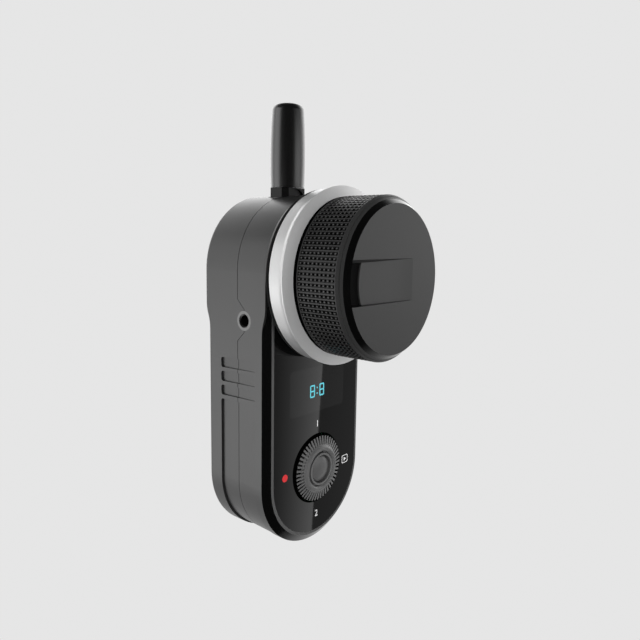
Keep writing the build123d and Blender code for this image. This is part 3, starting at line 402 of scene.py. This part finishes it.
# Which solid wears which finish
dressing = {
    "casingPaint": ["front_shell", "rear_shell", "collar"],
    "capPaint": ["end_cap"],
    "bezelBlack": ["panel_bezel"],
    "ringBlack": ["end_ring"],
    "panelGlass": ["display_glass"],
    "darkDisplay": ["display_module"],
    "boardGreen": ["main_board", "encoder_board", "dial_base"],
    "batteryWrap": ["battery_pack"],
    "markingSilver": ["marking_ring"],
    "machinedAlloy": ["bearing_carrier", "wheel_hub"],
    "sleeveAlloy": ["dial_rocker"],
    "buttonPlastic": ["centre_button", "power_button", "power_switch"],
    "dialPlastic": ["dial_ring"],
    "gripRubber": ["grip_sleeve"],
    "antennaBlack": ["antenna_sleeve", "antenna_socket"],
    "antennaFoot": ["antenna_base"],
    "nickelPlate": ["encoder_magnet"],
    "brassRod": ["antenna_element"],
    "dampingFelt": ["damping_sleeve"],
    "leadSheath": ["antenna_lead"],
    "brightSteel": ["board_screws", "casing_screws", "carrier_screws", "encoder_screws", "ring_screws",
                    "hub_screw", "wheel_shaft", "shaft_clip", "front_outer_race", "rear_outer_race",
                    "front_inner_race", "rear_inner_race", "front_balls", "rear_balls", "gimbal_cross",
                    "antenna_clip", "antenna_pin", "charging_port"],
    "insertSteel": ["thread_insert"],
}
for finishName, members in dressing.items():
    for member in members:
        nodes[member].data.materials.clear()
        nodes[member].data.materials.append(finishes[finishName])
print("finishes on solids:", sum(len(members) for members in dressing.values()))


# Points closer than the merge gap are one point, and points within the level gap share a station, in metres
meshSettings = {"mergeGap": 1e-7, "levelGap": 1e-6}


# Makes a bmesh into a piece that rides on a body
def addPiece(name, shape, body, finishName, stands=(), sharpAngle=35):
    bmesh.ops.recalc_face_normals(shape, faces=shape.faces)
    mesh = bpy.data.meshes.new(name)
    shape.to_mesh(mesh)
    shape.free()
    mesh.polygons.foreach_set("use_smooth", [True] * len(mesh.polygons))
    mesh.set_sharp_from_angle(angle=math.radians(sharpAngle))
    mesh.materials.append(finishes[finishName])
    piece = bpy.data.objects.new(name, mesh)
    scene.collection.objects.link(piece)
    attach(piece, body)
    if stands:
        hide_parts(*stands)
    return piece


# A ring turned about an axis along Y, from (radius, y) corners
def turnProfile(shape, corners, centre, steps):
    points = [shape.verts.new((centre.x + radius, y, centre.z)) for radius, y in corners]
    edges = [shape.edges.new(pair) for pair in zip(points, points[1:])]
    bmesh.ops.spin(shape, geom=points + edges, cent=centre, axis=(0, 1, 0), angle=2 * math.pi, steps=steps,
                   use_merge=True)
    bmesh.ops.remove_doubles(shape, verts=shape.verts, dist=meshSettings["mergeGap"])


# Knurled grip: ribs along the wheel, with a row of studs in each groove between them
gripSettings = {"ribs": 104, "rows": 9, "ribShare": 0.30, "margin": 0.6, "grooveDepth": 0.74, "studRise": 0.16,
                "studAlong": 0.44, "studAround": 0.44, "studTaper": 0.7, "studSink": 0.05, "wall": 4.4,
                "relief": 1.7, "reliefDrop": 2.2, "sharpAngle": 25}


def knurledGrip():
    low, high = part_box("grip_sleeve")
    centre = (low + high) / 2
    outer = (high.x - low.x) / 2
    radius = outer - gripSettings["studRise"] * mm
    margin = gripSettings["margin"] * mm
    back = high.y - gripSettings["relief"] * mm
    stations = [low.y, low.y + margin, back - margin, back]
    shape = bmesh.new()
    turnProfile(shape, [(radius, y) for y in stations], centre, 2 * gripSettings["ribs"])
    # every second column moves towards the one before it, so ribs are narrow and grooves wide
    cell = 2 * math.pi / gripSettings["ribs"]
    for vert in shape.verts:
        turn = math.atan2(vert.co.z - centre.z, vert.co.x - centre.x)
        column = round(turn / (cell / 2))
        if column % 2:
            turn = (column - 1) * cell / 2 + cell * gripSettings["ribShare"]
            vert.co.x = centre.x + radius * math.cos(turn)
            vert.co.z = centre.z + radius * math.sin(turn)
    grooves = []
    for face in shape.faces:
        width = max((a.co - b.co).length for a in face.verts for b in face.verts
                    if abs(a.co.y - b.co.y) < meshSettings["levelGap"])
        middle = face.calc_center_median()
        if width > cell * radius / 2 and stations[1] < middle.y < stations[2]:
            grooves.append(face)
    sinkFaces(shape, grooves, centre, gripSettings["grooveDepth"] * mm)
    front = [edge for edge in shape.edges if edge.is_boundary and edge.verts[0].co.y < centre.y]
    rear = [edge for edge in shape.edges if edge.is_boundary and edge.verts[0].co.y > centre.y]
    bore = outer - gripSettings["wall"] * mm
    neck = outer - gripSettings["reliefDrop"] * mm
    rear = drawRim(shape, rear, centre, neck, back)
    rear = drawRim(shape, rear, centre, neck, high.y)
    rear = drawRim(shape, rear, centre, bore, high.y)
    front = drawRim(shape, front, centre, bore, low.y)
    bmesh.ops.bridge_loops(shape, edges=front + rear)
    pitch = (stations[2] - stations[1]) / gripSettings["rows"]
    half = gripSettings["studAlong"] * pitch / 2
    for rib in range(gripSettings["ribs"]):
        turn = (rib + (1 + gripSettings["ribShare"]) / 2) * cell
        for row in range(gripSettings["rows"]):
            addStud(shape, centre, turn, stations[1] + (row + 0.5) * pitch, half, outer)
    return addPiece("knurled_grip", shape, "focus_wheel", "gripRubber", ["grip_sleeve"],
                    gripSettings["sharpAngle"])


# A blunt stud that stands out from the wheel's axis, its foot just under the groove's floor
def addStud(shape, centre, turn, y, half, outer):
    taper = gripSettings["studTaper"]
    side = gripSettings["studAround"] * math.pi / gripSettings["ribs"] * outer
    depth = gripSettings["studRise"] + gripSettings["grooveDepth"] + gripSettings["studSink"]
    foot = outer - depth * mm
    top = math.sqrt(outer * outer - (side * taper) ** 2)
    place = Matrix.Translation((centre.x, y, centre.z)) @ Matrix.Rotation(-turn, 4, "Y")
    place @= Matrix.Translation(((foot + top) / 2, 0, 0))
    block = place @ Matrix.Diagonal((top - foot, 2 * half, 2 * side, 1))
    corners = bmesh.ops.create_cube(shape, size=1.0, matrix=block)["verts"]
    back = place.inverted()
    tips = [vert for vert in corners if (back @ vert.co).x > 0]
    bmesh.ops.scale(shape, vec=(1, taper, taper), space=back, verts=tips)


# Draws an open rim on to another radius and station
def drawRim(shape, rim, centre, radius, y):
    made = bmesh.ops.extrude_edge_only(shape, edges=rim)["geom"]
    for vert in (item for item in made if isinstance(item, bmesh.types.BMVert)):
        outward = Vector((vert.co.x - centre.x, 0, vert.co.z - centre.z)).normalized() * radius
        vert.co = Vector((centre.x + outward.x, y, centre.z + outward.z))
    return [item for item in made if isinstance(item, bmesh.types.BMEdge) and item.is_boundary]


# Pushes faces towards the wheel's axis, one by one, with walls left around them
def sinkFaces(shape, faces, centre, depth):
    sunk = bmesh.ops.extrude_discrete_faces(shape, faces=faces)["faces"]
    for vert in {vert for face in sunk for vert in face.verts}:
        outward = Vector((vert.co.x - centre.x, 0, vert.co.z - centre.z))
        vert.co -= outward.normalized() * depth


# Control dial: smooth crown, ridged bevel and plain skirt. Each groove is shallower at its inner end
dialSettings = {"ridges": 48, "ridgeSteps": 4, "ridgeShare": 0.5, "ridgeDepth": 1.3, "innerShare": 0.45,
                "crownSteps": 8, "crownRise": 1.2, "seatDrop": 2.4, "ringR": 8.6, "bevelR": 11.7,
                "bevelDrop": 2.3, "stepOut": 0.25, "stepDrop": 1.38, "boreR": 8.1, "slopeFrom": 0.3,
                "slopeMargin": 0.2, "slopeFacing": (0.2, 0.995), "rimMargin": 0.1, "sharpAngle": 30}


def ridgedDial():
    low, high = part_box("dial_ring")
    centre = (low + high) / 2
    radius = (high.x - low.x) / 2
    ring, bevel, bore = (dialSettings[key] * mm for key in ("ringR", "bevelR", "boreR"))
    rise = dialSettings["crownRise"] * mm
    drop, seat, step = (low.y + dialSettings[key] * mm for key in ("bevelDrop", "seatDrop", "stepDrop"))
    corners = [(bore, high.y), (bore, seat), (ring, seat)]
    for k in range(dialSettings["crownSteps"] + 1):
        share = k / dialSettings["crownSteps"]
        corners.append((ring + share * (bevel - ring), low.y + rise * (2 * share - 1) ** 2))
    edge = bevel + dialSettings["stepOut"] * mm
    corners += [(edge, step), (radius, drop), (radius, high.y), (bore, high.y)]
    shape = bmesh.new()
    turnProfile(shape, corners, centre, dialSettings["ridgeSteps"] * dialSettings["ridges"])
    slopeFrom = bevel + dialSettings["slopeFrom"] * mm
    slopes = [face for face in shape.faces if isSlope(face, centre, slopeFrom, radius)]
    grooves = [face for face in slopes if ridgePlace(face, centre) % 1 < dialSettings["ridgeShare"]]
    sunk = bmesh.ops.extrude_face_region(shape, geom=grooves)["geom"]
    bmesh.ops.delete(shape, geom=grooves, context="FACES_ONLY")
    inward = Vector((0, dialSettings["ridgeDepth"] * mm, 0))
    for vert in (item for item in sunk if isinstance(item, bmesh.types.BMVert)):
        out = math.hypot(vert.co.x - centre.x, vert.co.z - centre.z)
        inner = out < radius - dialSettings["rimMargin"] * mm
        vert.co += inward * dialSettings["innerShare"] if inner else inward
    return addPiece("ridged_dial", shape, "dial", "dialPlastic", ["dial_ring"],
                    dialSettings["sharpAngle"])


# Whether a face is on the dial's bevel
def isSlope(face, centre, inner, outer):
    middle = face.calc_center_median()
    out = math.hypot(middle.x - centre.x, middle.z - centre.z)
    steep, flat = dialSettings["slopeFacing"]
    return inner < out < outer - dialSettings["slopeMargin"] * mm and steep < abs(face.normal.y) < flat


# Where a face lies around the dial, counted in ridges
def ridgePlace(face, centre):
    middle = face.calc_center_median()
    return math.atan2(middle.z - centre.z, middle.x - centre.x) / (2 * math.pi) * dialSettings["ridges"]


knurledGrip()
ridgedDial()
print("grip and dial modelled")


# Marks on the panel, in millimetres from the wheel's axis, as thin plates on the glass
markSettings = {"thick": 0.04, "digitHeight": 6.2, "digitWidth": 3.5, "stroke": 0.68, "segmentGap": 0.12,
                "digitX": (-4.0, 2.8), "digitZ": -56.0, "colonX": -0.6, "colonRise": 1.4, "colonSize": 0.7,
                "upperZ": -73.0, "lowerZ": -119.3, "numeral": 3.4, "fontScale": 1.4, "dot": (-22.8, -94.2),
                "dotR": 1.8, "dotSteps": 32, "play": (22.3, -97.0), "playHalf": (2.4, 2.15), "playStroke": 0.36,
                "playRound": 0.8, "playSteps": 4, "playArrow": 1.05, "playBack": 0.7}
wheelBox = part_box("end_ring")
wheelAxis = (wheelBox[0] + wheelBox[1]) / 2
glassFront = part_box("display_glass")[0].y


# A flat plate on the glass from an outline in millimetres
def addPlate(shape, outline):
    corners = [shape.verts.new((wheelAxis.x + x * mm, glassFront, wheelAxis.z + z * mm)) for x, z in outline]
    face = shape.faces.new(corners)
    lifted = bmesh.ops.extrude_face_region(shape, geom=[face])["geom"]
    moved = [item for item in lifted if isinstance(item, bmesh.types.BMVert)]
    bmesh.ops.translate(shape, verts=moved, vec=(0, -markSettings["thick"] * mm, 0))


# A bar with pointed ends
def addBar(shape, start, end, stroke):
    along = Vector((end[0] - start[0], end[1] - start[1])).normalized()
    side = Vector((-along.y, along.x)) * stroke / 2
    tip = along * stroke / 2
    first, last = Vector(start), Vector(end)
    addPlate(shape, [first - tip, first + side, last + side, last + tip, last - side, first - side])


def sevenSegment(shape, x, z):
    stroke = markSettings["stroke"]
    half = markSettings["digitWidth"] / 2 - stroke / 2
    tall = markSettings["digitHeight"] / 2 - stroke / 2
    gap = stroke * markSettings["segmentGap"]
    for level in (-tall, 0, tall):
        addBar(shape, (x - half + gap, z + level), (x + half - gap, z + level), stroke)
    for side in (-half, half):
        for foot in (-tall, 0):
            addBar(shape, (x + side, z + foot + gap), (x + side, z + foot + tall - gap), stroke)


def displayDigits():
    shape = bmesh.new()
    for x in markSettings["digitX"]:
        sevenSegment(shape, x, markSettings["digitZ"])
    half = markSettings["colonSize"] / 2
    for rise in (-markSettings["colonRise"], markSettings["colonRise"]):
        z = markSettings["digitZ"] + rise
        addPlate(shape, [(markSettings["colonX"] + a * half, z + b * half)
                         for a, b in ((-1, -1), (1, -1), (1, 1), (-1, 1))])
    return addPiece("display_digits", shape, "casing", "digitCyan")


# Plain numerals at the dial's top and bottom, a dot on its left and a play mark on its right
def panelNumeral(name, text, z):
    curve = bpy.data.curves.new(name, "FONT")
    curve.body = text
    curve.size = markSettings["numeral"] * markSettings["fontScale"] * mm
    curve.align_x = "CENTER"
    curve.align_y = "CENTER"
    curve.extrude = markSettings["thick"] * mm / 2
    written = bpy.data.objects.new(name + "_text", curve)
    scene.collection.objects.link(written)
    mesh = bpy.data.meshes.new_from_object(written.evaluated_get(bpy.context.evaluated_depsgraph_get()))
    bpy.data.objects.remove(written)
    place = Matrix.Translation((wheelAxis.x, glassFront - markSettings["thick"] * mm / 2, wheelAxis.z + z * mm))
    mesh.transform(place @ Matrix.Rotation(math.pi / 2, 4, "X"))
    shape = bmesh.new()
    shape.from_mesh(mesh)
    bpy.data.meshes.remove(mesh)
    return addPiece(name, shape, "casing", "printWhite")


def panelDot():
    x, z = markSettings["dot"]
    radius = markSettings["dotR"]
    turns = [2 * math.pi * k / markSettings["dotSteps"] for k in range(markSettings["dotSteps"])]
    shape = bmesh.new()
    addPlate(shape, [(x + radius * math.cos(turn), z + radius * math.sin(turn)) for turn in turns])
    return addPiece("record_dot", shape, "casing", "printRed")


def playMark():
    x, z = markSettings["play"]
    halfX, halfZ = markSettings["playHalf"]
    bend = markSettings["playRound"]
    steps = markSettings["playSteps"]
    outline = []
    for quarter in range(4):
        corner = quarter * math.pi / 2 + math.pi / 4
        for step in range(steps + 1):
            angle = quarter * math.pi / 2 + math.pi / 2 / steps * step
            outline.append((math.copysign(halfX - bend, math.cos(corner)) + bend * math.cos(angle),
                            math.copysign(halfZ - bend, math.sin(corner)) + bend * math.sin(angle)))
    shape = bmesh.new()
    innerX = 1 - markSettings["playStroke"] / halfX
    innerZ = 1 - markSettings["playStroke"] / halfZ
    for (ax, az), (bx, bz) in zip(outline, outline[1:] + outline[:1]):
        addPlate(shape, [(x + ax, z + az), (x + bx, z + bz), (x + bx * innerX, z + bz * innerZ),
                         (x + ax * innerX, z + az * innerZ)])
    size = markSettings["playArrow"]
    back = size * markSettings["playBack"]
    addPlate(shape, [(x - back, z - size), (x + size, z), (x - back, z + size)])
    return addPiece("play_mark", shape, "casing", "printWhite")


displayDigits()
panelNumeral("upper_numeral", "1", markSettings["upperZ"])
panelNumeral("lower_numeral", "2", markSettings["lowerZ"])
panelDot()
playMark()
print("panel marks placed")


# Camera, as fitted to the photograph
cameraSettings = {"place": (-0.183055, -0.199983, 0.037936), "yaw": 49.64, "pitch": -7.84, "roll": 0.88,
                  "lens": 33.901, "sensor": 36.0, "clipStart": 0.01}


def addCamera():
    yaw, pitch, roll = (math.radians(cameraSettings[key]) for key in ("yaw", "pitch", "roll"))
    forward = Vector((math.sin(yaw) * math.cos(pitch), math.cos(yaw) * math.cos(pitch), math.sin(pitch)))
    level = Vector((math.cos(yaw), -math.sin(yaw), 0))
    upright = level.cross(forward)
    right = level * math.cos(roll) + upright * math.sin(roll)
    top = upright * math.cos(roll) - level * math.sin(roll)
    data = bpy.data.cameras.new("photoCamera")
    data.lens = cameraSettings["lens"]
    data.sensor_width = cameraSettings["sensor"]
    data.clip_start = cameraSettings["clipStart"]
    camera = bpy.data.objects.new("photoCamera", data)
    turn = Matrix((right, top, -forward)).transposed().to_4x4()
    camera.matrix_world = Matrix.Translation(cameraSettings["place"]) @ turn
    scene.collection.objects.link(camera)
    scene.camera = camera


addCamera()

# Studio: pale floor well below the part, soft boxes, fills that stay out of reflections, and a pale backdrop
studioSettings = {
    "backdrop": 0.79, "fill": 0.30, "dim": 0.012, "room": 0.05, "glow": 2.5,
    "floorTone": 0.45, "floorDrop": 0.9, "floorSize": 16.0,
    "floorFrom": {"away": -0.15, "left": 0.2}, "floorTo": 0.9,
    "paneEdge": (0.822, 1.0, 0.0), "paneShift": 0.047, "paneFade": 0.135, "paneGlow": 0.95, "paneCurve": 1.7,
    "away": (0.762, 0.648, 0.0), "left": (-0.8, 0.6, 0.0),
    "horizon": (0.82, 0.52), "beyond": (0.0, 0.8), "beside": (-0.5, 0.3),
}
softBoxes = {
    "leftBox": {"place": (-0.86, 0.62, 0.05), "aim": (0.03, 0.0, 0.0), "size": (0.85, 1.4), "power": 4.7},
    "rightBox": {"place": (0.48, -0.92, -0.45), "aim": (0.03, 0.0, -0.02), "size": (0.9, 0.9), "power": 2.0,
                 "hidden": True},
    "highBox": {"place": (0.42, -0.95, 0.12), "aim": (0.03, 0.0, 0.05), "size": (0.8, 0.45), "power": 1.1},
    "topFill": {"place": (0.05, 0.15, 1.0), "aim": (0.03, 0.0, 0.0), "size": (0.8, 0.8), "power": 1.1,
                "hidden": True},
    "frontFill": {"place": (-0.5, -0.9, 0.0), "aim": (0.03, 0.0, 0.0), "size": (0.8, 0.8), "power": 5.6,
                  "hidden": True},
}


def addSoftBoxes():
    for name, settings in softBoxes.items():
        data = bpy.data.lights.new(name, "AREA")
        data.shape = "RECTANGLE"
        data.size, data.size_y = settings["size"]
        data.energy = settings["power"]
        lamp = bpy.data.objects.new(name, data)
        lamp.visible_glossy = not settings.get("hidden", False)
        place = Vector(settings["place"])
        turn = (Vector(settings["aim"]) - place).to_track_quat("-Z", "Y").to_matrix().to_4x4()
        lamp.matrix_world = Matrix.Translation(place) @ turn
        scene.collection.objects.link(lamp)


# Reflection of a tall pane on the floor: a sharp edge on one side, fading on the other
def windowPane(finish, level):
    reach = finish.vectors("LENGTH", level).out("Value")
    across = finish.vectors("DOT_PRODUCT", level, studioSettings["paneEdge"]).out("Value")
    aside = finish.maths("DIVIDE", across + studioSettings["paneShift"], reach)
    inward = finish.ramp(aside, -studioSettings["paneFade"], 0.0)
    glow = finish.maths("POWER", inward, studioSettings["paneCurve"]) * studioSettings["paneGlow"]
    rightward = finish.split(level).out("X")
    return glow * finish.maths("LESS_THAN", aside, 0.0) * finish.maths("GREATER_THAN", rightward, 0.0)


def addFloor():
    shape = bmesh.new()
    bmesh.ops.create_grid(shape, x_segments=1, y_segments=1, size=studioSettings["floorSize"] / 2)
    bmesh.ops.translate(shape, verts=shape.verts, vec=(0, 0, cadBox[0].z - studioSettings["floorDrop"]))
    mesh = bpy.data.meshes.new("floor")
    shape.to_mesh(mesh)
    shape.free()
    finish = Finish(bpy.data.materials.new("paleFloor"))
    path = finish.node("ShaderNodeLightPath")
    level = finish.vectors("MULTIPLY", finish.spot(), (1, 1, 0))
    way = finish.vectors("NORMALIZE", level)
    dim, bright = studioSettings["dim"], studioSettings["backdrop"]
    tones = []
    for side, start in studioSettings["floorFrom"].items():
        along = finish.vectors("DOT_PRODUCT", way, studioSettings[side]).out("Value")
        tones.append(finish.fade(along, start, studioSettings["floorTo"], dim, bright))
    tone = tones[0].most(tones[1]) + windowPane(finish, level)
    pale = finish.node("ShaderNodeEmission", None, {"Color": paint(studioSettings["backdrop"])})
    sheen = finish.node("ShaderNodeEmission", None, {"Color": tone})
    matt = finish.node("ShaderNodeBsdfDiffuse", None, {"Color": paint(studioSettings["floorTone"])})
    lit = finish.node("ShaderNodeMixShader", None, {0: path.out("Is Glossy Ray"), 1: matt, 2: sheen})
    both = finish.node("ShaderNodeMixShader", None, {0: path.out("Is Camera Ray"), 1: lit, 2: pale})
    finish.node("ShaderNodeOutputMaterial", None, {"Surface": both})
    mesh.materials.append(finish.owner)
    floor = bpy.data.objects.new("floor", mesh)
    scene.collection.objects.link(floor)


# Reflections see the pale backdrop low down behind the part, and a dim room elsewhere
def addBackdrop():
    world = bpy.data.worlds.new("paleStudio")
    scene.world = world
    finish = Finish(world)
    path = finish.node("ShaderNodeLightPath")
    ray = finish.node("ShaderNodeTexCoord").out("Generated")
    facing = finish.vectors("DOT_PRODUCT", ray, studioSettings["away"]).out("Value")
    behind = finish.fade(facing, *studioSettings["beyond"])
    beside = finish.fade(facing, *studioSettings["beside"])
    low = finish.fade(finish.split(ray).out("Z"), *studioSettings["horizon"])
    dim = finish.blend(beside, paint(studioSettings["dim"]), paint(studioSettings["room"]))
    mirrored = finish.blend(behind * low, dim, paint(studioSettings["glow"]))
    seen = path.out("Is Camera Ray").most(path.out("Is Transmission Ray"))
    pale = finish.node("ShaderNodeBackground", None, {"Color": paint(studioSettings["backdrop"])})
    fill = finish.node("ShaderNodeBackground", None, {"Color": paint(studioSettings["fill"])})
    room = finish.node("ShaderNodeBackground", None, {"Color": mirrored})
    lit = finish.node("ShaderNodeMixShader", None, {0: path.out("Is Glossy Ray"), 1: fill, 2: room})
    both = finish.node("ShaderNodeMixShader", None, {0: seen, 1: lit, 2: pale})
    finish.node("ShaderNodeOutputWorld", None, {"Surface": both})


addSoftBoxes()
addFloor()
addBackdrop()
print("studio lit")
